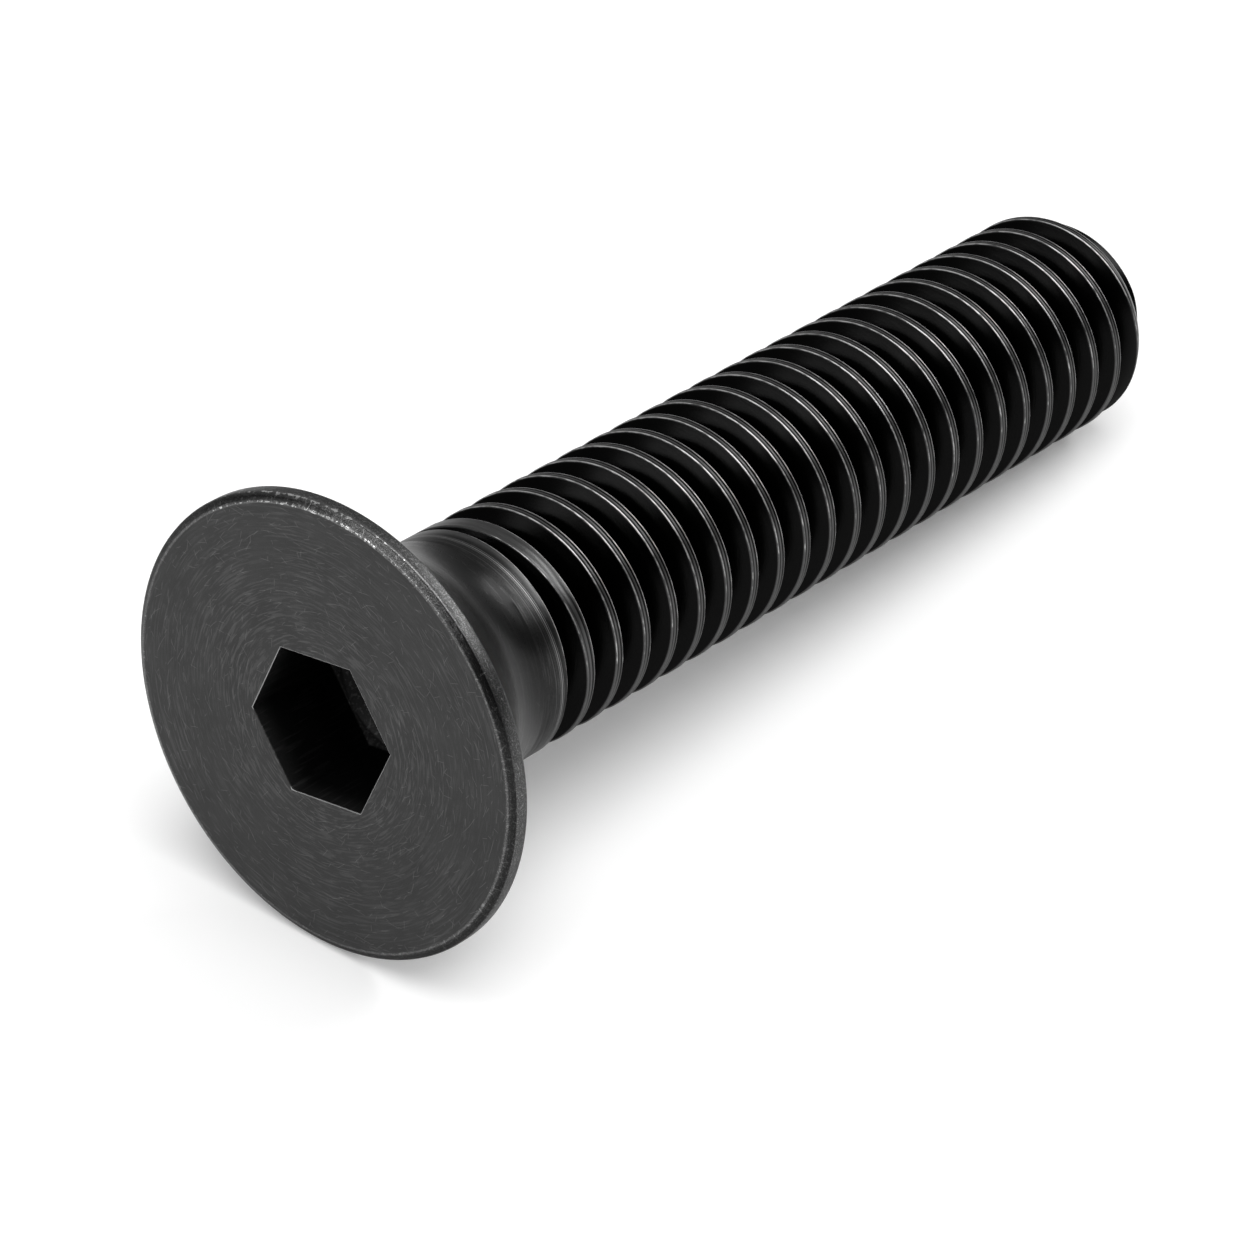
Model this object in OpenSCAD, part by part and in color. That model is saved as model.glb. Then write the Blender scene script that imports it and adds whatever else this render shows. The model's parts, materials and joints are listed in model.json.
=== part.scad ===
// Countersunk socket screw, metric M4 x 20, fully threaded, black steel.
// One turned and threaded piece, lying on the rim of its head and on its last thread.
// Millimetres, +Z up. The screw runs along +X from head to tip, and the origin is
// under the middle of its length, on the surface that it lies on.

/* [Thread] */
// Diameter over the thread crests
thread_d = 3.96; // [3.5:0.02:4.5]
// Pitch, the distance from crest to crest along the screw
thread_pitch = 0.7; // [0.5:0.05:0.8]
// Width of the flat on each crest
crest_w = 0.09; // [0.05:0.01:0.14]
// Included angle between the two flanks of the groove
flank_angle = 60; // [55:1:65]
// Depth of the groove below the crest
thread_depth = 0.43; // [0.25:0.01:0.45]
// Length over which the groove runs out towards the head
runout_len = 0.35; // [0.1:0.05:1.2]
// Turn of the thread about the screw's axis, in degrees
thread_turn = 100; // [0:5:355]

/* [Head] */
// Diameter of the head over its rim
head_d = 7.8; // [7:0.1:9]
// Height of the head's cylindrical rim, with its bevel
rim_h = 0.3; // [0.2:0.05:0.6]
// Height of the bevel at the edge of the flat face
bevel_h = 0.08; // [0.03:0.01:0.15]
// Width of the bevel at the edge of the flat face
bevel_w = 0.13; // [0.05:0.01:0.3]
// Included angle of the countersink cone
head_angle = 90; // [80:1:100]

/* [Neck] */
// Diameter of the plain neck between cone and thread
neck_d = 3.96; // [3.4:0.02:4.4]
// Radius of the fillet between cone and neck
neck_fillet_r = 1.9; // [0.4:0.1:2]
// Distance from the flat face to the first trace of the groove
thread_start = 3.46; // [3.2:0.02:6]

/* [Socket] */
// Width of the hexagon socket across its flats
socket_af = 2.5; // [2:0.1:3]
// Depth of the socket's straight walls
socket_depth = 1.8; // [1:0.1:2.2]
// Included angle of the drilled point below the socket
socket_point_angle = 120; // [100:5:140]
// Turn of the hexagon about the screw's axis, in degrees
socket_turn = 22; // [0:1:59]

/* [Tip] */
// Length of the screw over the head, as such screws are sold
screw_len = 20; // [12:1:30]
// Diameter of the flat end of the tip
tip_d = 3.36; // [2.6:0.02:3.4]
// Included angle of the chamfer on the tip
tip_angle = 60; // [60:5:120]

/* [Hidden] */

thread_r = thread_d / 2;
head_r = head_d / 2;
neck_r = neck_d / 2;
tip_r = tip_d / 2;
face_r = head_r - bevel_w;

// Where the cone would meet the neck without a fillet, from the flat face
cone_end = rim_h + (head_r - neck_r) / tan(head_angle / 2);
// Length along each side that the fillet takes from that corner
fillet_reach = neck_fillet_r * tan(head_angle / 4);
neck_end = thread_start;
chamfer_start = screw_len - (thread_r - tip_r) / tan(tip_angle / 2);

// The groove is swept in short straight steps
steps_per_turn = 36;
step_angle = 360 / steps_per_turn;
step_rise = thread_pitch / steps_per_turn;
runout_steps = ceil(runout_len / step_rise);
groove_steps = ceil((screw_len - thread_start) / step_rise) + steps_per_turn;
// The cutter stands proud of the crest by this much
proud = 0.5 * crest_w / (2 * tan(flank_angle / 2));

// Place of the last full crest on the screw's underside, measured at its front edge
crest_front = thread_start + (thread_pitch - crest_w) / 2 - thread_turn / 360 * thread_pitch;
last_crest = crest_front + floor((chamfer_start - crest_front) / thread_pitch) * thread_pitch;
crest_foot = min(last_crest + crest_w, chamfer_start);
// The screw lies on the rear edge of its rim and on that crest, with its tip down by this angle
rest_tilt = atan((head_r - thread_r) / (crest_foot - rim_h));
rest_height = rim_h * sin(rest_tilt) + head_r * cos(rest_tilt);
// Half way between the lowest edge of the face and the highest edge of the tip
mid_x = (screw_len * cos(rest_tilt) + (tip_r - face_r) * sin(rest_tilt)) / 2;
eps = 0.01;

function groove_half_w(height) = (thread_pitch - crest_w) / 2 + height * tan(flank_angle / 2);

// How far the groove's section stands out of its full depth, at one step
function runout_lift(i) = i < runout_steps ? (thread_depth + proud) * (1 - i / runout_steps) : 0;

function groove_point(i, radius, offset) =
    let (a = thread_turn + i * step_angle)
    [radius * cos(a), radius * sin(a), thread_start + i * step_rise + offset];

function groove_ring(i) =
    let (lift = runout_lift(i), inner = thread_r - thread_depth + lift, outer = thread_r + proud + lift)
    let (inner_w = groove_half_w(-thread_depth), outer_w = groove_half_w(proud))
    [
        groove_point(i, inner, -inner_w),
        groove_point(i, outer, -outer_w),
        groove_point(i, outer, outer_w),
        groove_point(i, inner, inner_w)
    ];

// Two triangles between neighbouring rings, on side k of the section
function groove_side(i, k) =
    let (n = (k + 1) % 4)
    [
        [4 * i + k, 4 * i + n, 4 * i + 4 + n],
        [4 * i + k, 4 * i + 4 + n, 4 * i + 4 + k]
    ];

module groove_cutter() {
    last = 4 * groove_steps;
    points = [for (i = [0:groove_steps]) each groove_ring(i)];
    sides = [for (i = [0:groove_steps - 1]) for (k = [0:3]) each groove_side(i, k)];
    near_cap = [[2, 1, 0], [3, 2, 0]];
    far_cap = [[last, last + 1, last + 2], [last, last + 2, last + 3]];
    polyhedron(points = points, faces = concat(sides, near_cap, far_cap));
}

module fillet_profile() {
    corner = [neck_r, cone_end];
    on_neck = corner + [0, fillet_reach];
    on_cone = corner + fillet_reach * [sin(head_angle / 2), -cos(head_angle / 2)];
    centre = on_neck + [neck_fillet_r, 0];
    difference() {
        polygon([[0, on_cone[1]], on_cone, centre, on_neck, [0, on_neck[1]]]);
        translate(centre) circle(r = neck_fillet_r, $fn = 96);
    }
}

module blank_profile() {
    polygon([
        [0, 0],
        [face_r, 0],
        [head_r, bevel_h],
        [head_r, rim_h],
        [neck_r, cone_end],
        [neck_r, neck_end],
        [thread_r, neck_end],
        [thread_r, chamfer_start],
        [tip_r, screw_len],
        [0, screw_len]
    ]);
    fillet_profile();
}

module socket_cutter() {
    corner_r = socket_af / 2 / cos(30);
    point_h = socket_af / 2 / tan(socket_point_angle / 2);
    rotate(socket_turn)
        translate([0, 0, -eps])
            cylinder(r = corner_r, h = socket_depth + eps, $fn = 6);
    translate([0, 0, socket_depth - eps])
        cylinder(d1 = socket_af, d2 = 0, h = point_h + eps, $fn = 48);
}

module screw() {
    difference() {
        rotate_extrude($fn = 96) blank_profile();
        socket_cutter();
        groove_cutter();
    }
}

module countersunk_socket_screw() {
    color("#2d2e30")
        translate([-mid_x, 0, rest_height])
            rotate([0, 90 + rest_tilt, 0])
                screw();
}

countersunk_socket_screw();
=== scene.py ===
# %% [markdown]
# # A countersunk socket screw in black steel
# The object is one small machine screw, lying on a white table. It was cold headed, its thread was rolled,
# and the steel was blackened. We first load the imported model, because it fixes the size and the place.

# %% Load the frame
import json
import math

import bpy
import numpy as np
from mathutils import Matrix, Vector, noise


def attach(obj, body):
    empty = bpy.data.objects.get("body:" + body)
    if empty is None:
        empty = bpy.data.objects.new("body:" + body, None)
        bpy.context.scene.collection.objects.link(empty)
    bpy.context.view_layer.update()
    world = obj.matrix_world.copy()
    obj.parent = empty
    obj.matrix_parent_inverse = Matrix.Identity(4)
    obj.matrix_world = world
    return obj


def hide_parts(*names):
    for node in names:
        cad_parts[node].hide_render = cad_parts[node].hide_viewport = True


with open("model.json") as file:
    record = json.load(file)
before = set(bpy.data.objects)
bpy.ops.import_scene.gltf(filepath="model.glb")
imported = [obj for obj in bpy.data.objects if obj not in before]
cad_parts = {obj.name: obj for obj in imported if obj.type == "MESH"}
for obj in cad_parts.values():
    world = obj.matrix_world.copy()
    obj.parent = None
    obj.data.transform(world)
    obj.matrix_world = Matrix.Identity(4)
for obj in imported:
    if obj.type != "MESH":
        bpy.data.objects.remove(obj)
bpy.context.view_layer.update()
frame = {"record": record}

# %% [markdown]
# ## The sizes that rule the form
# A screw is described by few numbers: diameter and pitch of the thread, head, socket, length. We keep them
# in millimetres, as a workshop drawing would, and turn them into metres only when the mesh is placed. One of
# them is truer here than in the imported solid. The crest there has the standard's flat of 0.09 mm, but in the
# photograph its two bright lines lie 0.09 to 0.18 mm apart. Rolling pressed it wider, and we take 0.15 mm.
# Its edge on the head's side stays where the solid has it, so each groove moves along by half of the gain.

# %% Sizes in millimetres and degrees
MM = 0.001
NODE = "countersunk_socket_screw"

thread_r = 3.96 / 2
pitch = 0.7
crest_w = 0.15
solid_crest_w = 0.09
thread_depth = 0.43
flank = math.radians(30)
thread_start = 3.46 + (crest_w - solid_crest_w) / 2
thread_turn = 100.0
runout_turn = 180.0
root_half = (pitch - crest_w) / 2 - thread_depth * math.tan(flank)

head_r = 7.8 / 2
rim_h = 0.3
bevel_h = 0.08
bevel_w = 0.13
fillet_r = 1.9

socket_af = 2.5
socket_depth = 1.8
socket_turn = 22.0

screw_len = 20.0
tip_r = 3.36 / 2
tip_slope = math.tan(math.radians(30))

# %% [markdown]
# ## Where the screw lies
# The screw rests on the rim of its head and on a thread near its tip, so its axis slopes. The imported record
# already holds that line: the mount in the middle of the socket gives the centre of the flat face and the
# direction out of it. Reading it there is safer than working the slope out a second time.

# %% The screw's own axes
socket_mount = next(m for m in frame["record"]["mounts"] if m["name"] == "hex_socket")
face_centre = Vector(socket_mount["pos_m"])
along = -Vector(socket_mount["axis"]).normalized()
sideways = Vector((0, 1, 0))
downwards = sideways.cross(along)
lay_down = Matrix.Translation(face_centre) @ Matrix((downwards, sideways, along)).transposed().to_4x4()
print("the axis slopes by", round(math.degrees(math.asin(-along.z)), 2), "degrees")

# %% [markdown]
# ## One skin, ring by ring
# Every part of a screw but its thread is turned about one axis, so rings of points, bridged by faces, describe
# it well. Cutting a cylinder with booleans would work too, but it leaves long thin faces that shade badly on
# polished metal. The collector below takes points as distance along the axis, radius and angle. It also keeps,
# for each point, how sharp the edge is that it lies on and how deep it sits below the turned surface. On the
# head's bevel, that second value is a painted shade instead. The wear, the dark of the grooves, and the
# painted shade on the bevel and in the socket will follow those two values later.

# %% A collector for rings and faces
COLUMNS = 120
FINE = 480
FINISHES = ("face", "land", "cone", "shank", "socket")


class Skin:
    def __init__(self):
        self.points = []
        self.sharp = []
        self.depth_and_shade = []
        self.faces = []
        self.finish = []

    def point(self, s, r, angle, sharp=0.0, depth_and_shade=0.0):
        a = math.radians(angle)
        self.points.append((r * math.cos(a), r * math.sin(a), s))
        self.sharp.append(sharp)
        self.depth_and_shade.append(depth_and_shade)
        return len(self.points) - 1

    def ring(self, s, radius, count=COLUMNS, sharp=0.0, depth_and_shade=0.0):
        """A ring of points. The four values are numbers, or functions of the angle in degrees."""
        ids = []
        for angle in angles(count):
            here = [value(angle) if callable(value) else value for value in (s, radius, sharp, depth_and_shade)]
            ids.append(self.point(here[0], here[1], angle, here[2], here[3]))
        return ids

    def face(self, ids, finish):
        corners = [v for k, v in enumerate(ids) if v != ids[k - 1]]
        if len(corners) >= 3:
            self.faces.append(corners)
            self.finish.append(FINISHES.index(finish))

    def bridge(self, near, far, finish):
        """Faces between two rings. The finer ring may have a multiple of the other's points."""
        if len(near) == len(far):
            for j in range(len(near)):
                n = (j + 1) % len(near)
                self.face([near[j], near[n], far[n], far[j]], finish)
            return
        coarse, fine = sorted((near, far), key=len)
        step = len(fine) // len(coarse)
        for j in range(len(coarse)):
            n = (j + 1) % len(coarse)
            for k in range(step):
                corner = coarse[j] if k < step / 2 else coarse[n]
                self.face([fine[j * step + k], fine[(j * step + k + 1) % len(fine)], corner], finish)
            self.face([coarse[j], fine[j * step + (step + 1) // 2], coarse[n]], finish)


def angles(count):
    return [socket_turn + 360 * j / count for j in range(count)]


def wobble(angle, scale, seed):
    """Smooth noise around the axis, from -1 to 1, the same on every run."""
    a = math.radians(angle)
    return noise.noise(Vector((scale * math.cos(a), scale * math.sin(a), seed)))


skin = Skin()

# %% [markdown]
# ## The socket
# A hexagonal punch pressed this recess, and a drill-like point lies under it. The corners have to fall
# exactly on columns of points, so the columns start at a corner and their number divides by six. The mouth
# gets a tiny rounding, because a perfectly sharp edge catches no light, and its thin bright outline would be
# missing. The rim of the point stays inside the hexagon of the floor, or faces without area would lie there.

# %% Rings of the socket
def hexagon(across):
    """Radius of a hexagon of that width across its flats, as a function of the angle."""
    def radius(angle):
        off_flat = (angle - socket_turn) % 60 - 30
        return across / 2 / math.cos(math.radians(off_flat))
    return radius


mouth_round = 0.014
wall_af = socket_af - 0.03
floor_af = wall_af - 0.04
point_r = wall_af / 2 - 0.03
point_end = socket_depth + point_r / math.tan(math.radians(60))
# The depth stored in these rings also sets the socket's painted shade, darker deeper in.
socket_rings = [skin.ring(point_end - 0.01, 0.02, depth_and_shade=1.0)]
for share in (0.3, 0.65, 0.97):
    s = point_end - share * (point_end - socket_depth)
    socket_rings.append(skin.ring(s, share * point_r, depth_and_shade=1.0))
socket_rings.append(skin.ring(socket_depth, point_r, sharp=0.1, depth_and_shade=1.0))
socket_rings.append(skin.ring(socket_depth, hexagon(floor_af), sharp=0.1, depth_and_shade=1.0))
for depth in (socket_depth - 0.03, 1.4, 1.0, 0.6, 0.3, 0.12, 0.04):
    socket_rings.append(skin.ring(depth, hexagon(wall_af), depth_and_shade=min(1.0, depth)))

spared_wall = (socket_turn, socket_turn + 60)
spared_wear = 0.35


def key_worn(strength):
    """Wear of the mouth's edge. The wall at the lower left of the photograph kept its oxide."""
    low, high = spared_wall
    return lambda angle: strength * (spared_wear if low < angle % 360 < high else 1.0)


for turn in (0, 30, 60):
    out = mouth_round * (1 - math.cos(math.radians(turn)))
    down = mouth_round * (1 - math.sin(math.radians(turn)))
    socket_rings.append(skin.ring(down, hexagon(wall_af + 2 * out), sharp=key_worn(0.3 + turn / 100)))
for near, far in zip(socket_rings, socket_rings[1:]):
    skin.bridge(near, far, "socket")
skin.face(list(reversed(socket_rings[0])), "socket")
print("socket:", len(socket_rings), "rings")

# %% [markdown]
# ## The flat face and its edge
# The face was turned flat and its edge is the part of the screw that gets knocked about most. On the real one
# the edge wanders a little and has small chips. The rings near the edge therefore get four times as many
# points, and their radius and depth follow smooth noise of a few thousandths of a millimetre.

# %% Rings of the face
face_r = head_r - bevel_w
circle_r = face_r - 0.25
mouth_edge = skin.ring(0, hexagon(wall_af + 2 * mouth_round), sharp=key_worn(0.8))
skin.bridge(socket_rings[-1], mouth_edge, "socket")


def between(share):
    """From the hexagon's outline, share 0, to a circle near the rim, share 1."""
    outline = hexagon(wall_af + 2 * mouth_round)
    return lambda angle: outline(angle) * (1 - share) + circle_r * share


face_rings = [mouth_edge]
for share in (0.012, 0.1, 0.28, 0.46, 0.64, 0.82, 1.0):
    face_rings.append(skin.ring(0, between(share)))
for near, far in zip(face_rings, face_rings[1:]):
    skin.bridge(near, far, "face")


worn_side = 175.0
worn_spread = 34.0


def worn(angle):
    """How badly the head's edge is knocked about, from 0 to 1. Its upper side took most of it."""
    off = (angle - worn_side + 180) % 360 - 180
    return math.exp(-((off / worn_spread) ** 2))


def rubbed(quiet, battered):
    """Sharpness of an edge where it is sound and where it is worn, also used for the painted shade on the
    head's bevel.
    """
    return lambda angle: quiet + (battered - quiet) * worn(angle)


def chipped(base, depth):
    """A radius that wanders and has short chips along the edge, deeper where the edge is worn."""
    def value(angle):
        slow = wobble(angle, 3.0, 1.7)
        chip = max(0.0, wobble(angle, 24.0, 4.3) - 0.15) + 0.5 * wobble(angle, 60.0, 8.1)
        return base - depth * (0.5 * slow + chip * (0.6 + 1.6 * worn(angle)))
    return value


def edge_ring(s, r, depth, sharp, depth_and_shade=(0.0, 0.0)):
    """A fine, chipped ring. Sharpness and depth are pairs, for sound and for worn places. The depth here sets
    a painted shade on the bevel.
    """
    return skin.ring(s, chipped(r, depth), FINE, sharp=rubbed(*sharp), depth_and_shade=rubbed(*depth_and_shade))


# Where a ring below has a second pair, it is a painted shade on the bevel, weaker where the edge is worn.
edge_rings = [
    skin.ring(0, face_r - 0.12, FINE),
    edge_ring(0, face_r - 0.035, 0.004, (0.05, 0.7)),
    edge_ring(0.002, face_r - 0.012, 0.010, (0.5, 1.2)),
    edge_ring(0.009, face_r + 0.004, 0.012, (0.3, 1.1)),
    edge_ring(0.02, face_r + 0.02, 0.012, (0.0, 0.6), (0.8, 0.2)),
]
skin.bridge(face_rings[-1], edge_rings[0], "face")
skin.bridge(edge_rings[0], edge_rings[1], "face")
for near, far in zip(edge_rings[1:], edge_rings[2:]):
    skin.bridge(near, far, "land")

# %% [markdown]
# ## Bevel, rim and cone
# Between face and cone runs a narrow cylindrical rim. Its two edges are rounded by a few hundredths of a
# millimetre. The cone of 90 degrees then falls to the neck, and an arc blends the two.

# %% Rings of the rim
# The second pairs here are a painted shade on the bevel, weaker where the edge is worn.
rim_rings = [
    edge_rings[-1],
    edge_ring(0.045, face_r + 0.06, 0.008, (0.0, 0.3), (1.0, 0.6)),
    edge_ring(bevel_h - 0.012, head_r - 0.022, 0.005, (0.0, 0.9), (1.0, 0.2)),
    edge_ring(bevel_h + 0.004, head_r - 0.006, 0.004, (0.4, 1.2)),
    skin.ring(bevel_h + 0.025, head_r, FINE, sharp=rubbed(0.1, 0.6)),
    skin.ring((bevel_h + rim_h) / 2, head_r, FINE),
    skin.ring(rim_h - 0.03, head_r, FINE, sharp=0.05),
    skin.ring(rim_h - 0.008, head_r - 0.002, FINE, sharp=0.4),
    skin.ring(rim_h + 0.006, head_r - 0.011, FINE, sharp=0.4),
]
for near, far in zip(rim_rings, rim_rings[1:]):
    skin.bridge(near, far, "land")

# %% Rings of the cone and of the fillet
cone_end = rim_h + head_r - thread_r
fillet_reach = fillet_r * math.tan(math.radians(22.5))
neck_start = cone_end + fillet_reach
fillet_centre_r = thread_r + fillet_r
cone_far = cone_end - fillet_reach * math.cos(math.radians(45))
cone_rings = [rim_rings[-1], skin.ring(rim_h + 0.04, head_r - 0.04, FINE)]
for share in np.linspace(0.06, 1.0, 12):
    s = rim_h + share * (cone_far - rim_h)
    cone_rings.append(skin.ring(s, head_r - (s - rim_h)))
for turn in np.linspace(45, 0, 14)[1:]:
    a = math.radians(turn)
    r = fillet_centre_r - fillet_r * math.cos(a)
    cone_rings.append(skin.ring(neck_start - fillet_r * math.sin(a), r))
for near, far in zip(cone_rings, cone_rings[1:]):
    skin.bridge(near, far, "cone")
print("the neck starts", round(neck_start, 3), "mm from the face")

# %% [markdown]
# ## The thread
# A thread is one groove that winds about the axis. We could sweep a profile along a helix, but its start and
# its end, at neck and tip, would need extra work. Here the radius is a function of angle and distance along
# the axis, and the rows of points follow the helix, so each crest edge runs along one unbroken row. Rows
# that would pass the neck or the tip simply stop there: their points fall together and their faces vanish.

# %% The groove's section and its run-out
root_round, crest_round = 0.04, 0.018


def soft_min(a, b, reach):
    """The smaller of two values, with a rounding where they meet."""
    h = np.clip(0.5 + 0.5 * (b - a) / reach, 0, 1)
    return b * (1 - h) + a * h - reach * h * (1 - h)


def groove_centre(k, angle):
    return thread_start + pitch * ((angle - thread_turn) / 360 + k)


def groove_depth(k, angle):
    """Depth of groove k at an angle. It starts at nothing on the neck and deepens over half a turn."""
    travelled = angle - thread_turn + 360 * k
    proud = 0.5 * crest_w / (2 * math.tan(flank))
    lift = (thread_depth + proud) * (1 - travelled / runout_turn) if travelled < runout_turn else 0.0
    return max(0.0, thread_depth - lift) if travelled >= 0 else 0.0


def groove_edge(depth):
    """Half the groove's width where it meets the crest."""
    return root_half + depth * math.tan(flank)


def groove_radius(offset, depth):
    """Radius of the surface at a distance from the groove's centre line."""
    wall = thread_r - depth + (abs(offset) - root_half) / math.tan(flank)
    floor = -soft_min(-wall, -(thread_r - depth), root_round)
    return soft_min(floor, thread_r, crest_round)


# %% [markdown]
# ### What rolling leaves on the crest
# The dies squeeze the steel up from both sides, so a crest isn't a clean flat. A lip lies near its edge on
# the head's side and a seam near the other, both only dips of a hundredth of a millimetre. They split the
# light into fine lines. The edges themselves are rubbed, the further one over a wider band.

# %% Rows of one pitch, following the helix
root_shares = (0.0, 0.8)
flank_shares = (0.06, 0.35, 0.68, 0.92, 0.985)
crest_shares = (0.04, 0.1, 0.17, 0.24, 0.31, 0.4, 0.5, 0.59, 0.67, 0.75, 0.83, 0.91, 0.96)
edge_share = 0.95
flank_rub = 0.7
lip_share, lip_reach, lip_strength = 0.25, 0.12, 0.8
seam_share, seam_reach = 0.71, 0.14
seam_depth = 0.01
dent_depth = 0.003
near_rub, far_rub = 0.012, 0.02
# The last two values make the crest edges on the side towards the camera less bare and so darker: painted
# shade that dims their reflection of the bright table.
painted_dim_side, painted_dim_share = 300.0, 0.5


def row_reach(k, angle):
    """Half the width that the rows of groove k take, also where the groove hasn't started yet."""
    travelled = angle - thread_turn + 360 * k
    share = groove_depth(k, angle) / thread_depth if travelled > 0 else -travelled / 90
    return groove_edge(thread_depth * min(1.0, max(0.12, share)))


def crest_worn(k, angle):
    """How much the edges of groove k are rubbed. On the side towards the camera they are made less bare and so
    darker, which is painted shade that dims their reflection of the bright table.
    """
    begun = min(1.0, 2.5 * groove_depth(k, angle) / thread_depth)
    return begun * (1 - painted_dim_share * max(0.0, math.cos(math.radians(angle - painted_dim_side))) ** 3)


def rows_of_pitch(k, angle):
    """Distances along the axis and sharpness of one pitch's rows, from groove k to groove k + 1."""
    near, far = crest_worn(k, angle), crest_worn(k + 1, angle)
    left, right = row_reach(k, angle), row_reach(k + 1, angle)
    rows = [(share * root_half, 0.0) for share in root_shares]
    for share in flank_shares:
        rows.append((root_half + share * (left - root_half), flank_rub * near * (share > edge_share)))
    width = pitch - left - right
    for share in crest_shares:
        near_edge = math.exp(-((share * width / near_rub) ** 2))
        far_edge = math.exp(-(((1 - share) * width / far_rub) ** 2))
        rows.append((left + share * width, near * near_edge + far * far_edge))
    for share in reversed(flank_shares):
        rows.append((pitch - root_half - share * (right - root_half), far * (share > edge_share)))
    rows += [(pitch - share * root_half, 0.0) for share in reversed(root_shares[1:])]
    return rows


def surface_at(s, angle, k):
    """Radius of the skin, and how far the groove there goes down, from 0 to 1."""
    near, far = groove_depth(k, angle), groove_depth(k + 1, angle)
    near_radius = groove_radius(s - groove_centre(k, angle), near)
    far_radius = groove_radius(groove_centre(k + 1, angle) - s, far)
    here = min(near_radius, far_radius)
    left, right = row_reach(k, angle), row_reach(k + 1, angle)
    on_crest = (s - groove_centre(k, angle) - left) / (pitch - left - right)
    seam_here = seam_share + 0.05 * wobble(angle + 360 * k, 1.5, 5.1)
    seam = math.exp(-(((on_crest - seam_here) / seam_reach) ** 2))
    seam += lip_strength * math.exp(-(((on_crest - lip_share) / lip_reach) ** 2))
    seam *= min(near, far) / thread_depth * (0.85 + 0.35 * wobble(angle + 360 * k, 2.5, 2.9))
    wear = dent_depth * abs(wobble(angle + 360 * k, 2.0, 0.37 * k)) * min(1.0, near / thread_depth)
    chamfer = tip_r + (screw_len - s) * tip_slope
    # The lip and the seam also count as a little deeper, so the crest's colour turns darker along them.
    depth_and_shade = (thread_r - here) / thread_depth + 0.1 * seam
    return soft_min(here - seam_depth * seam - wear, chamfer, 0.02), min(1.0, max(0.0, depth_and_shade))


# %% The helical skin between neck and tip
row_count = len(rows_of_pitch(3, 0.0))
first_pitch, last_pitch = -3, 26
tip_rim = screw_len - 0.03
first_row, last_row = neck_start + 0.015, tip_rim - 0.008
neck_ring = cone_rings[-1]
tip_ring = []
columns = []
for j, angle in enumerate(angles(COLUMNS)):
    column = []
    rim_point = None
    for k in range(first_pitch, last_pitch):
        for offset, sharp in rows_of_pitch(k, angle):
            s = groove_centre(k, angle) + offset
            if s < first_row:
                column.append(neck_ring[j])
            elif s < last_row:
                r, depth_and_shade = surface_at(s, angle, k)
                column.append(skin.point(s, r, angle, sharp, depth_and_shade))
            else:
                if rim_point is None:
                    r, depth_and_shade = surface_at(tip_rim, angle, k)
                    rim_point = skin.point(tip_rim, r, angle, 0.1, depth_and_shade)
                    tip_ring.append(rim_point)
                column.append(rim_point)
    columns.append(column)

for j in range(COLUMNS):
    here = columns[j]
    if j + 1 < COLUMNS:
        there = columns[j + 1]
    else:
        there = columns[0][row_count:] + [tip_ring[0]] * row_count
    for near, far, near_up, far_up in zip(here, there, here[1:], there[1:]):
        skin.face([near, far, far_up, near_up], "shank")
print("thread:", len(columns[0]), "rows in", COLUMNS, "columns")

# %% [markdown]
# ## The tip's end
# The end face is flat, and the groove notches its edge where the thread runs out. It was cut off square in a
# lathe like the face of the head, so it gets the same finish.

# %% Rings of the end face
def tip_radius(share, inset):
    """The notched outline of the end, which becomes a circle towards the middle."""
    outline = {}
    for j, angle in enumerate(angles(COLUMNS)):
        x, y, s = skin.points[tip_ring[j]]
        outline[angle] = math.hypot(x, y)
    return lambda angle: (outline[angle] - inset) * share + tip_r * 0.5 * (1 - share)


end_inset = 0.035
end_rings = [tip_ring]
end_rings.append(skin.ring(screw_len - 0.008, tip_radius(1.0, 0.012), sharp=0.3))
end_rings.append(skin.ring(screw_len, tip_radius(1.0, end_inset), sharp=0.1))
for share in (0.85, 0.45, 0.0):
    end_rings.append(skin.ring(screw_len, tip_radius(share, end_inset)))
for r in (0.5, 0.2):
    end_rings.append(skin.ring(screw_len, r))
for near, far in zip(end_rings[:2], end_rings[1:3]):
    skin.bridge(near, far, "shank")
for near, far in zip(end_rings[2:], end_rings[3:]):
    skin.bridge(near, far, "face")
skin.face(end_rings[-1], "face")

# %% [markdown]
# ## From points to an object
# The mesh keeps four values for its materials: the place of each point in the screw's own axes, in
# millimetres, its sharpness, how deep it sits, which on the head's bevel is a painted shade instead, and how
# far before the first groove it lies. A material that reads them needs no picture and no unwrapping, and the
# marks of turning stay centred on the screw whichever way it lies. The first groove winds away from the head,
# so after one turn its edge is a pitch further along. In the last part of the turn the stored distance runs
# back, or the neck would show a step there.

# %% Make the mesh
lead_turn = 240.0
mesh = bpy.data.meshes.new("screw")
mesh.from_pydata(skin.points, [], skin.faces)
place = mesh.attributes.new("screw_place", "FLOAT_VECTOR", "POINT")
place.data.foreach_set("vector", np.array(skin.points, np.float32).ravel())
before_thread = []
for x, y, s in skin.points:
    travelled = (math.degrees(math.atan2(y, x)) - thread_turn) % 360
    travelled = min(travelled, lead_turn * (360 - travelled) / (360 - lead_turn))
    before_thread.append(thread_start + pitch * travelled / 360 - (pitch - crest_w) / 2 - s)
for name, values in (
    ("sharpness", skin.sharp),
    ("depth_and_painted_shade", skin.depth_and_shade),
    ("before_thread", before_thread),
):
    kept = mesh.attributes.new(name, "FLOAT", "POINT")
    kept.data.foreach_set("value", np.array(values, np.float32))
mesh.polygons.foreach_set("material_index", skin.finish)
mesh.polygons.foreach_set("use_smooth", [True] * len(mesh.polygons))
mesh.transform(lay_down @ Matrix.Scale(MM, 4))
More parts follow.
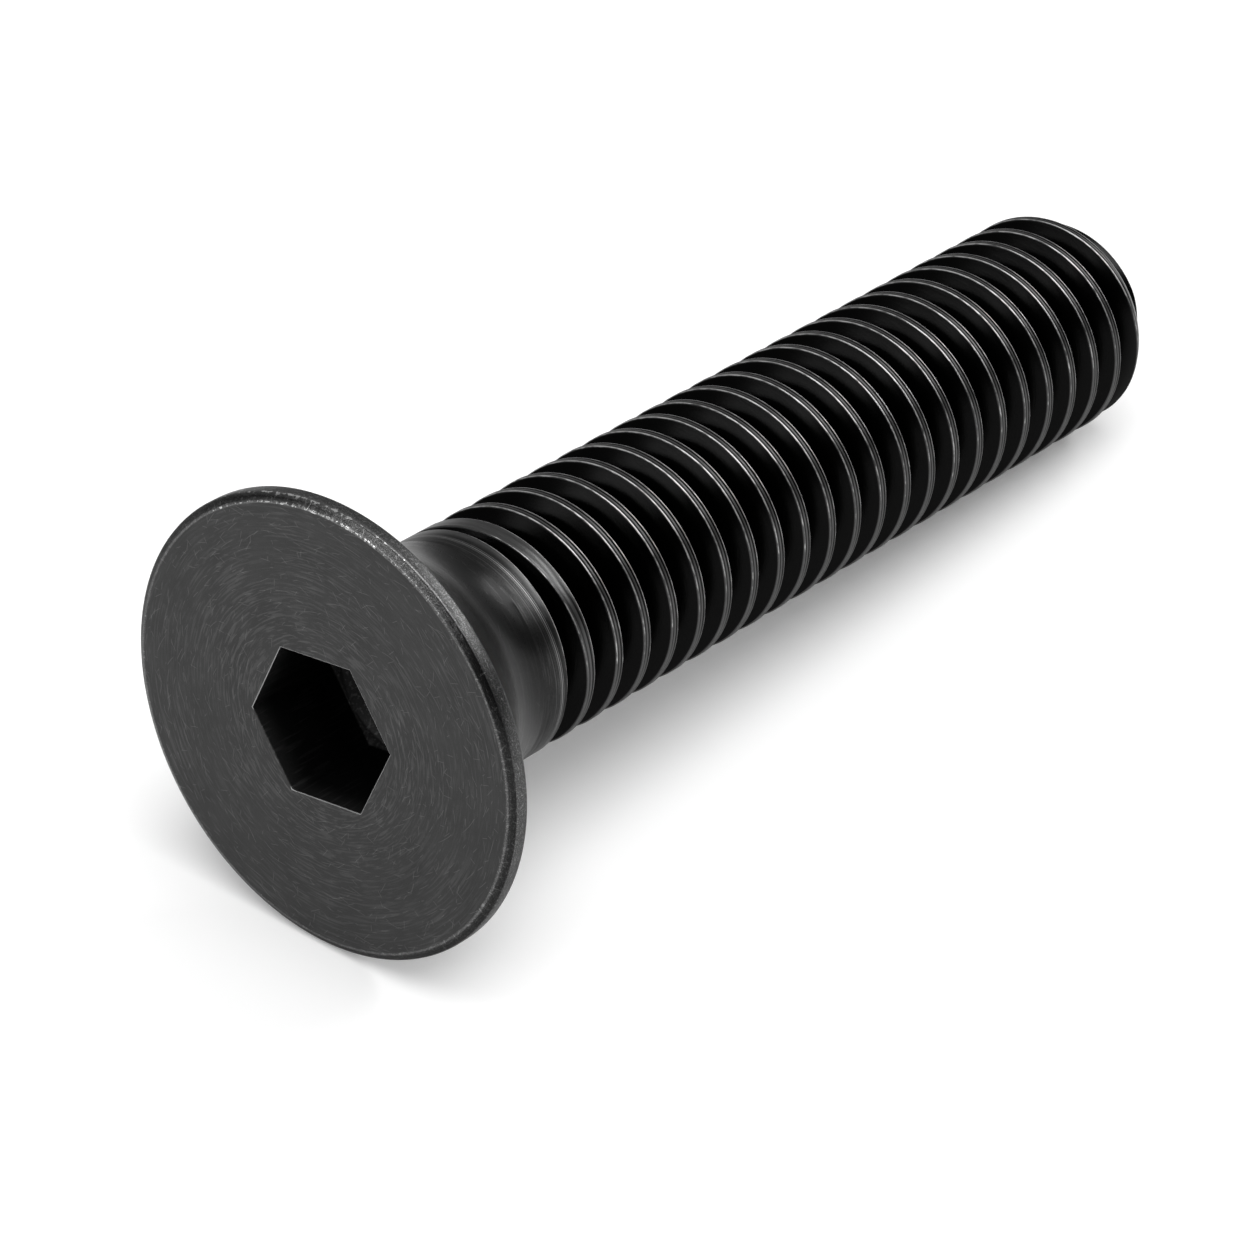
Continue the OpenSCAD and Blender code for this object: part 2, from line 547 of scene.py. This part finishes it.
mesh.update()

# %% Clean the mesh and measure it
import bmesh

work = bmesh.new()
work.from_mesh(mesh)
loose = [v for v in work.verts if not v.link_faces]
bmesh.ops.delete(work, geom=loose, context="VERTS")
bmesh.ops.recalc_face_normals(work, faces=work.faces)
open_edges = sum(1 for e in work.edges if len(e.link_faces) != 2)
volume = work.calc_volume(signed=True) / MM**3
work.to_mesh(mesh)
work.free()
triangles = sum(len(p.vertices) - 2 for p in mesh.polygons)
print("triangles:", triangles, "open edges:", open_edges)
print("volume in mm3:", round(volume, 2), "loose points:", len(loose))

# %% The object takes the solid's place
screw = bpy.data.objects.new("screw_body", mesh)
bpy.context.scene.collection.objects.link(screw)
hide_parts(NODE)
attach(screw, "root")

# %% [markdown]
# ## Short ways to wire nodes
# A procedural material is a small machine of nodes, and most of its code is wiring. A few helpers keep that
# readable: they add a node, set or link a socket, do one sum, make a smooth step, and read a stored value.

# %% Node helpers
def add(tree, kind, **settings):
    node = tree.nodes.new("ShaderNode" + kind)
    for name, value in settings.items():
        setattr(node, name, value)
    return node


def put(tree, socket, value):
    """Link the socket where the value is another socket, and set it where it is a number."""
    if isinstance(value, bpy.types.NodeSocket):
        tree.links.new(value, socket)
    else:
        socket.default_value = value


def calc(tree, operation, *values, clamp=False):
    node = add(tree, "Math", operation=operation, use_clamp=clamp)
    for socket, value in zip(node.inputs, values):
        put(tree, socket, value)
    return node.outputs[0]


def blend_sum(tree, start, *parts):
    """start plus each part times its weight, kept between 0 and 1."""
    value = start
    for weight, part in parts:
        value = calc(tree, "MULTIPLY_ADD", part, weight, value)
    return calc(tree, "ADD", value, 0.0, clamp=True)


def smooth_step(tree, value, low, high):
    node = add(tree, "MapRange", interpolation_type="SMOOTHSTEP")
    for label, number in (("Value", value), ("From Min", low), ("From Max", high)):
        put(tree, node.inputs[label], number)
    return node.outputs["Result"]


def vector_calc(tree, operation, *values):
    node = add(tree, "VectorMath", operation=operation)
    sockets = (node.inputs[0], node.inputs["Scale"]) if operation == "SCALE" else node.inputs
    for socket, value in zip(sockets, values):
        put(tree, socket, value)
    return node.outputs["Value" if operation in ("LENGTH", "DOT_PRODUCT") else "Vector"]


def stored(tree, name, output="Fac"):
    return add(tree, "Attribute", attribute_name=name).outputs[output]


def across_axis(tree):
    """The place in the screw's own axes, without the distance along the axis."""
    return vector_calc(tree, "MULTIPLY", stored(tree, "screw_place", "Vector"), (1, 1, 0))


def along_axis(tree):
    """The distance from the flat face, in millimetres."""
    node = add(tree, "SeparateXYZ")
    put(tree, node.inputs[0], stored(tree, "screw_place", "Vector"))
    return node.outputs["Z"]


def soft_noise(tree, place, detail=1.0):
    node = add(tree, "TexNoise")
    put(tree, node.inputs["Vector"], place)
    put(tree, node.inputs["Scale"], 1.0)
    put(tree, node.inputs["Detail"], detail)
    return node.outputs["Fac"]


# %% [markdown]
# ## Effects that the finishes share
# The face, the land, the cone and the thread all carry the same kinds of marks in different amounts. Each
# effect is therefore a node group with named inputs, built once. Turned marks are streaks that run round the
# axis. We could bend a stripe texture round it, but noise read at a point on a circle never shows a seam.

# %% A group starts with its named inputs and its one output
def new_group(name, output, **numbers):
    group = bpy.data.node_groups.new(name, "ShaderNodeTree")
    for label, value in numbers.items():
        socket = group.interface.new_socket(label.title(), in_out="INPUT", socket_type="NodeSocketFloat")
        socket.default_value = value
    group.interface.new_socket(output, in_out="OUTPUT", socket_type="NodeSocketFloat")
    given = group.nodes.new("NodeGroupInput").outputs
    leaving = group.nodes.new("NodeGroupOutput").inputs[0]
    return group, given, leaving


def use(tree, group, **values):
    """Place a group in a material with its own values, and return its output."""
    node = add(tree, "Group", node_tree=group)
    for label, value in values.items():
        put(tree, node.inputs[label.title()], value)
    return node.outputs[0]


# %% Turned marks
turned_marks, given, leaving = new_group(
    "turned_marks", "Mark", across=0.0, density=36.0, shortness=8.0, coverage=0.57, seed=0.0
)
direction = vector_calc(turned_marks, "NORMALIZE", across_axis(turned_marks))
around = vector_calc(turned_marks, "SCALE", direction, given["Shortness"])
lift = calc(turned_marks, "MULTIPLY", given["Across"], given["Density"])
lift = calc(turned_marks, "MULTIPLY_ADD", given["Seed"], 31.7, lift)
upright = add(turned_marks, "CombineXYZ")
put(turned_marks, upright.inputs["Z"], lift)
streak = soft_noise(turned_marks, vector_calc(turned_marks, "ADD", around, upright.outputs[0]))
fullest = calc(turned_marks, "ADD", given["Coverage"], 0.13)
put(turned_marks, leaving, smooth_step(turned_marks, streak, given["Coverage"], fullest))

# %% [markdown]
# Scratches are short straight lines from handling. Squeezed noise makes soft ones that cross like a weave,
# so we scatter cells instead, and draw one line in each. The cell's own random colour gives the line's
# direction, its length, and whether it is there at all. Spread says how far the lines may turn away from the
# turning marks, and Upright is 0 on the flat face and 1 on a cylinder.

# %% Scratches
scratches, given, leaving = new_group(
    "scratches", "Scratch", density=5.0, length=0.45, width=0.05, spread=1.5, share=0.5, upright=0.0, seed=0.0
)
moved = add(scratches, "CombineXYZ")
put(scratches, moved.inputs["X"], calc(scratches, "MULTIPLY", given["Seed"], 17.3))
scaled = vector_calc(scratches, "SCALE", stored(scratches, "screw_place", "Vector"), given["Density"])
scaled = vector_calc(scratches, "ADD", scaled, moved.outputs[0])
cell = add(scratches, "TexVoronoi")
put(scratches, cell.inputs["Vector"], scaled)
put(scratches, cell.inputs["Scale"], 1.0)
chance = add(scratches, "SeparateColor")
put(scratches, chance.inputs[0], cell.outputs["Color"])
away = vector_calc(scratches, "SUBTRACT", scaled, cell.outputs["Position"])

# %% The line in each cell
radial = vector_calc(scratches, "NORMALIZE", across_axis(scratches))
turning = vector_calc(scratches, "CROSS_PRODUCT", (0, 0, 1), radial)
rise = add(scratches, "CombineXYZ")
put(scratches, rise.inputs["Z"], given["Upright"])
outward = vector_calc(scratches, "SCALE", radial, calc(scratches, "SUBTRACT", 1.0, given["Upright"]))
outward = vector_calc(scratches, "NORMALIZE", vector_calc(scratches, "ADD", outward, rise.outputs[0]))
lengthwise = vector_calc(scratches, "DOT_PRODUCT", away, turning)
crosswise = vector_calc(scratches, "DOT_PRODUCT", away, outward)
swing = calc(scratches, "MULTIPLY", calc(scratches, "SUBTRACT", chance.outputs["Red"], 0.5), given["Spread"])
cosine, sine = calc(scratches, "COSINE", swing), calc(scratches, "SINE", swing)
on_line = calc(scratches, "MULTIPLY_ADD", lengthwise, cosine, calc(scratches, "MULTIPLY", crosswise, sine))
swung = calc(scratches, "MULTIPLY", lengthwise, sine)
off_line = calc(scratches, "SUBTRACT", calc(scratches, "MULTIPLY", crosswise, cosine), swung)

# %% Its length, its width and whether it is there
length_share = calc(scratches, "MULTIPLY_ADD", chance.outputs["Green"], 0.7, 0.3)
reach = calc(scratches, "MULTIPLY", given["Length"], length_share)
strong_length = calc(scratches, "MULTIPLY", reach, 0.5)
strong_width = calc(scratches, "MULTIPLY", given["Width"], 0.3)
beyond = smooth_step(scratches, calc(scratches, "ABSOLUTE", on_line), strong_length, reach)
beside = smooth_step(scratches, calc(scratches, "ABSOLUTE", off_line), strong_width, given["Width"])
within_length = calc(scratches, "SUBTRACT", 1.0, beyond)
within_width = calc(scratches, "SUBTRACT", 1.0, beside)
drawn = calc(scratches, "MULTIPLY", within_length, within_width)
present = calc(scratches, "LESS_THAN", chance.outputs["Blue"], given["Share"])
put(scratches, leaving, calc(scratches, "MULTIPLY", drawn, present))

# %% [markdown]
# Grain is plain noise at any size: fine, it is the matt surface of the oxide, and coarse, its cloudiness.
# Edge wear reads the sharpness that the mesh stored, and grain breaks it up, so bare steel shows in flecks.

# %% Grain and edge wear
grain, given, leaving = new_group("grain", "Grain", density=60.0, detail=2.0, seed=0.0)
moved = add(grain, "CombineXYZ")
put(grain, moved.inputs["Y"], calc(grain, "MULTIPLY", given["Seed"], 23.9))
grain_place = vector_calc(grain, "SCALE", stored(grain, "screw_place", "Vector"), given["Density"])
grain_place = vector_calc(grain, "ADD", grain_place, moved.outputs[0])
put(grain, leaving, soft_noise(grain, grain_place, given["Detail"]))

edge_wear, given, leaving = new_group("edge_wear", "Wear", start=0.5, breakup=1.0, density=14.0, seed=0.0)
flecks = use(edge_wear, grain, density=given["Density"], seed=given["Seed"])
broken = calc(edge_wear, "MULTIPLY", calc(edge_wear, "SUBTRACT", flecks, 0.5), given["Breakup"])
level = calc(edge_wear, "ADD", stored(edge_wear, "sharpness"), broken)
fullest = calc(edge_wear, "ADD", given["Start"], 0.3)
put(edge_wear, leaving, smooth_step(edge_wear, level, given["Start"], fullest))
print("node groups:", sorted(group.name for group in bpy.data.node_groups))

# %% [markdown]
# ## Blackened steel
# Black oxide is a skin of about a thousandth of a millimetre that grows out of the steel itself. It keeps the
# metal's gloss and takes most of its brightness. We could paint it as a dark lacquer, but then the walls of
# the groove would look milky. So every finish is a metal, and one value tells how much bare steel shows.

# %% A finish and its colour
oxide = (0.004, 0.004, 0.004, 1)
bare_steel = (0.56, 0.56, 0.56, 1)


def blackened(name, edge_gloss=0.6):
    material = bpy.data.materials.new("black_steel_" + name)
    material.use_nodes = True
    shader = material.node_tree.nodes["Principled BSDF"]
    shader.inputs["Metallic"].default_value = 1.0
    shader.inputs["Specular Tint"].default_value = (edge_gloss, edge_gloss, edge_gloss, 1)
    mesh.materials.append(material)
    return material.node_tree, shader


def dress(tree, shader, shows, roughness, height, relief):
    """Wire the colour, the roughness and the fine relief, whose height is in millimetres."""
    colour = add(tree, "ValToRGB")
    colour.color_ramp.elements[0].color = oxide
    colour.color_ramp.elements[1].color = bare_steel
    put(tree, colour.inputs["Fac"], shows)
    put(tree, shader.inputs["Base Color"], colour.outputs["Color"])
    put(tree, shader.inputs["Roughness"], roughness)
    bump = add(tree, "Bump")
    put(tree, bump.inputs["Distance"], relief * MM)
    put(tree, bump.inputs["Height"], height)
    put(tree, shader.inputs["Normal"], bump.outputs["Normal"])


# %% [markdown]
# ## The face
# The flat face was turned, so fine arcs run round it, clearest near the socket, and handling left short
# scratches in all directions. Its tone is even, with a faint cloudiness.

# %% Finish of the face
tree, shader = blackened("face")
radius = vector_calc(tree, "LENGTH", across_axis(tree))
arcs = use(tree, turned_marks, across=radius, density=30.0, shortness=5.0, coverage=0.5, seed=1.0)
short_arcs = use(tree, turned_marks, across=radius, density=34.0, shortness=14.0, coverage=0.56, seed=2.0)
patches = smooth_step(tree, use(tree, grain, density=0.9, seed=3.0), 0.4, 0.62)
near_socket = calc(tree, "SUBTRACT", 1.0, smooth_step(tree, radius, 1.5, 2.9))
arc_strength = calc(tree, "MULTIPLY", arcs, blend_sum(tree, 0.1, (0.5, patches), (0.5, near_socket)))
lines = [
    use(tree, scratches, density=density, length=0.65, width=width, spread=spread, share=share, seed=seed)
    for density, width, spread, share, seed in (
        (2.3, 0.013, 0.9, 0.6, 1.0),
        (3.7, 0.021, 1.4, 0.5, 2.0),
        (5.5, 0.032, 3.1, 0.35, 3.0),
    )
]
cloud = use(tree, grain, density=1.6, seed=4.0)
matt = use(tree, grain, density=45.0, seed=5.0)
marks = [(0.045, arc_strength), (0.018, short_arcs), *((0.09, line) for line in lines)]
shows = blend_sum(tree, 0.054, (0.03, cloud), (0.03, matt), *marks)
roughness = blend_sum(tree, 0.36, (0.06, matt), (-0.06, arcs))
height = blend_sum(tree, 0.3, (0.2, matt), (-0.4, arc_strength), *((-0.5, line) for line in lines))
dress(tree, shader, shows, roughness, height, 0.001)

# %% [markdown]
# ## The land
# The narrow cylinder round the head rubs against everything, so its oxide is thin and grainy, with fine
# scratches along the edge. Its two edges are worn down to bare steel in places. On the bevel next to the face,
# the colour is painted darker, as painted shade.

# %% Finish of the land
tree, shader = blackened("land")
from_face = along_axis(tree)
rubs = use(tree, turned_marks, across=from_face, density=60.0, shortness=40.0, coverage=0.55, seed=6.0)
specks = use(tree, grain, density=55.0, detail=3.0, seed=7.0)
bare = smooth_step(tree, specks, 0.5, 0.68)
nicks = use(tree, scratches, density=7.0, width=0.08, spread=3.1, share=0.5, upright=1.0, seed=6.5)
edge_line = smooth_step(tree, stored(tree, "sharpness"), 0.2, 0.6)
wear = use(tree, edge_wear, start=0.95, breakup=2.6, density=13.0, seed=8.0)
painted_bevel_shade = stored(tree, "depth_and_painted_shade")
marks = [(0.12, specks), (0.17, bare), (0.06, rubs), (0.18, nicks), (0.08, edge_line)]
land_wear_and_bevel_shade = blend_sum(tree, 0.05, *marks)
# Painted shade: the colour is darkened on the bevel next to the face.
land_wear_and_bevel_shade = calc(tree, "MULTIPLY", land_wear_and_bevel_shade, calc(tree, "MULTIPLY_ADD", painted_bevel_shade, -0.75, 1.0))
shows = blend_sum(tree, 0.0, (1.0, land_wear_and_bevel_shade), (0.9, wear))
roughness = blend_sum(tree, 0.36, (-0.1, wear), (-0.06, bare), (-0.1, painted_bevel_shade))
height = blend_sum(tree, 0.2, (0.6, specks), (-0.3, rubs), (-0.4, nicks))
dress(tree, shader, shows, roughness, height, 0.0025)

# %% [markdown]
# ## The cone
# Long faint streaks run round the cone, from the tool that turned it. It was touched less than the head's
# edge, and keeps a satin skin.

# %% Finish of the cone
tree, shader = blackened("cone", edge_gloss=0.8)
from_face = along_axis(tree)
streaks = use(tree, turned_marks, across=from_face, density=24.0, shortness=2.5, coverage=0.5, seed=9.0)
thin_streaks = use(tree, turned_marks, across=from_face, density=70.0, shortness=5.0, coverage=0.6, seed=10.0)
matt = use(tree, grain, density=50.0, seed=11.0)
nicks = use(
    tree, scratches, density=4.0, length=0.5, width=0.025, spread=1.2, share=0.35, upright=0.5, seed=12.5
)
wear = use(tree, edge_wear, start=0.7, breakup=1.2, density=10.0, seed=12.0)
neckwards = smooth_step(tree, from_face, 1.7, 2.8)
marks = [(0.012, streaks), (0.04, thin_streaks), (0.03, matt), (0.08, nicks), (0.3, wear)]
worn_cone = blend_sum(tree, 0.045, *marks)
shows = calc(tree, "MULTIPLY", worn_cone, calc(tree, "MULTIPLY_ADD", neckwards, -0.55, 1.0))
roughness = blend_sum(tree, 0.29, (0.06, matt), (-0.04, streaks))
height = blend_sum(tree, 0.3, (0.2, matt), (-0.15, streaks), (-0.3, thin_streaks), (-0.4, nicks))
dress(tree, shader, shows, roughness, height, 0.0005)

# %% [markdown]
# ## The shank
# Rolling pressed the thread between dies. Its crests are smooth and rubbed bright along both edges, and oil
# and oxide stay in the grooves, where they are darkest. The stored depth tells one from the other.

# %% Finish of the shank
tree, shader = blackened("shank")
from_face = along_axis(tree)
streaks = use(tree, turned_marks, across=from_face, density=40.0, shortness=5.0, coverage=0.54, seed=13.0)
matt = use(tree, grain, density=40.0, seed=14.0)
wear = use(tree, edge_wear, start=0.5, breakup=0.7, density=6.0, seed=15.0)
on_crest = calc(tree, "SUBTRACT", 1.0, smooth_step(tree, stored(tree, "depth_and_painted_shade"), 0.01, 0.08))
rolled = smooth_step(tree, stored(tree, "before_thread"), 0.02, -0.1)
at_tip = smooth_step(tree, from_face, 19.35, 19.6)
crest_share = blend_sum(tree, 0.018, (0.04, matt), (0.03, streaks), (0.11, rolled), (0.03, at_tip))

# %% Lines that the rolling dies left before the first groove
lead_in = stored(tree, "before_thread")
lead_place = add(tree, "CombineXYZ")
put(tree, lead_place.inputs["Z"], calc(tree, "MULTIPLY", lead_in, 34.0))
die_lines = smooth_step(tree, soft_noise(tree, lead_place.outputs[0]), 0.5, 0.56)
lead_begun = smooth_step(tree, lead_in, 0.3, 0.1)
lead_zone = calc(tree, "MULTIPLY", lead_begun, smooth_step(tree, lead_in, 0.0, 0.02))
die_lines = calc(tree, "MULTIPLY", die_lines, lead_zone)
on_top = calc(tree, "MULTIPLY", on_crest, crest_share)
shows = blend_sum(tree, 0.0, (0.006, matt), (1.0, on_top), (0.3, die_lines), (0.85, wear), (0.02, at_tip))
roughness = blend_sum(tree, 0.26, (0.08, on_crest), (0.1, wear))
height = blend_sum(tree, 0.3, (0.3, matt), (-0.2, streaks), (0.5, die_lines))
dress(tree, shader, shows, roughness, height, 0.0015)

# %% [markdown]
# ## The socket
# Light hardly reaches the punched walls, and their colour is painted lighter near the mouth and darker deeper
# in, as painted light and shade. The mouth's edge is rubbed by the key, and its walls keep faint scratches
# that run in the direction of the axis.

# %% Finish of the socket
tree, shader = blackened("socket")
matt = use(tree, grain, density=30.0, seed=16.0)
wear = use(tree, edge_wear, start=0.42, breakup=0.8, density=8.0, seed=17.0)
place = vector_calc(tree, "MULTIPLY", stored(tree, "screw_place", "Vector"), (18.0, 18.0, 1.5))
drawn = smooth_step(tree, soft_noise(tree, place), 0.55, 0.7)
# Painted light: the walls are made lighter near the mouth, with their scratches and grain, and stay dark
# deeper in as painted shade.
near_mouth = smooth_step(tree, stored(tree, "depth_and_painted_shade"), 0.5, 0.0)
painted_mouth_light = calc(tree, "MULTIPLY", near_mouth, blend_sum(tree, 0.6, (0.6, drawn), (0.3, matt)))
shows = blend_sum(tree, 0.015, (0.02, matt), (0.04, drawn), (0.09, painted_mouth_light), (0.5, wear))
roughness = blend_sum(tree, 0.45, (0.1, matt))
height = blend_sum(tree, 0.3, (0.3, matt), (-0.3, drawn))
dress(tree, shader, shows, roughness, height, 0.002)
print("finishes:", [material.name for material in mesh.materials])

# %% [markdown]
# ## The table
# The screw lies on a white table. Its colour is a light grey, and the last step to white comes from a small
# glow that only the camera and mirror-like surfaces see. So the steel mirrors a white table, while the glow
# lights nothing, and the shadow stays.

# %% Floor
half = 1.5
table_glow = 0.18
corners = [(-half, -half, 0), (half, -half, 0), (half, half, 0), (-half, half, 0)]
floor_mesh = bpy.data.meshes.new("studio_floor")
floor_mesh.from_pydata(corners, [], [(0, 1, 2, 3)])
floor = bpy.data.objects.new("studio_floor", floor_mesh)
bpy.context.scene.collection.objects.link(floor)

# %% Its white, with the glow
white_table = bpy.data.materials.new("white_table")
white_table.use_nodes = True
tree = white_table.node_tree
shader = tree.nodes["Principled BSDF"]
shader.inputs["Base Color"].default_value = (0.85, 0.85, 0.85, 1)
shader.inputs["Roughness"].default_value = 0.9
shader.inputs["Specular IOR Level"].default_value = 0.1
shader.inputs["Emission Color"].default_value = (1, 1, 1, 1)
rays = add(tree, "LightPath").outputs
mirrored = calc(tree, "ADD", rays["Is Glossy Ray"], rays["Is Transmission Ray"])
seen = calc(tree, "ADD", rays["Is Camera Ray"], mirrored)
put(tree, shader.inputs["Emission Strength"], calc(tree, "MULTIPLY", seen, table_glow))
floor_mesh.materials.append(white_table)

# %% [markdown]
# ## Light
# A studio is bright above and behind the object, and dim near the floor and where the photographer stands.
# The world is a soft slope between the two, and its dim side is what the walls of the thread and the bevel of
# the head mirror. One softbox overhead gives the soft shadow, one behind gives the glint on the crests and on
# the head's edge, and a weak one on the left brings the upper walls of the thread out of the black.

# %% World
bright_side = Vector((0.35, 0.45, 0.82)).normalized()
dim, bright = 0.05, 0.5
world = bpy.data.worlds.new("studio")
world.use_nodes = True
tree = world.node_tree
facing = add(tree, "VectorMath", operation="DOT_PRODUCT")
put(tree, facing.inputs[0], add(tree, "TexCoord").outputs["Generated"])
put(tree, facing.inputs[1], bright_side)
towards = smooth_step(tree, facing.outputs["Value"], 0.0, 0.85)
put(tree, tree.nodes["Background"].inputs["Strength"], calc(tree, "MULTIPLY_ADD", towards, bright - dim, dim))
put(tree, tree.nodes["Background"].inputs["Color"], (1, 1, 1, 1))
bpy.context.scene.world = world


# %% Softboxes
def softbox(name, direction, distance, size, power):
    lamp = bpy.data.lights.new(name, "AREA")
    lamp.shape = "RECTANGLE"
    lamp.size, lamp.size_y = size
    lamp.energy = power
    holder = bpy.data.objects.new(name, lamp)
    back = Vector(direction).normalized()
    holder.location = back * distance
    holder.rotation_mode = "QUATERNION"
    holder.rotation_quaternion = back.to_track_quat("Z", "Y")
    bpy.context.scene.collection.objects.link(holder)


softbox("overhead_softbox", (-0.12, -0.3, 1.0), 0.5, (0.42, 0.42), 1.98)
softbox("back_softbox", (0.745, -0.3, 0.58), 0.4, (0.32, 0.07), 0.55)
softbox("left_card", (-0.88, 0.2, 0.43), 0.5, (0.34, 0.11), 0.6)

# %% [markdown]
# ## The camera
# The photographer stood above the head's side and used a long lens. A camera set by eye would look alike, but
# only the true perspective brings the rim, the hexagon and every crest into place at once. So its values come
# from a fit to points that were measured in the photograph.

# %% Camera
focal_px, frame_px = 4969.5, 1254
sensor = 36.0
camera_data = bpy.data.cameras.new("camera")
camera_data.sensor_width = sensor
camera_data.lens = focal_px / frame_px * sensor
camera_data.clip_start = 0.005
camera = bpy.data.objects.new("camera", camera_data)
bpy.context.scene.collection.objects.link(camera)
azimuth, elevation = math.radians(50.68), math.radians(35.65)
level = math.cos(elevation)
looking = Vector((math.sin(azimuth) * level, math.cos(azimuth) * level, -math.sin(elevation)))
camera.location = Vector((-54.113, -42.346, 49.681)) * MM
camera.rotation_mode = "QUATERNION"
camera.rotation_quaternion = looking.to_track_quat("-Z", "Y")
bpy.context.scene.camera = camera
bpy.context.scene.view_settings.view_transform = "Standard"
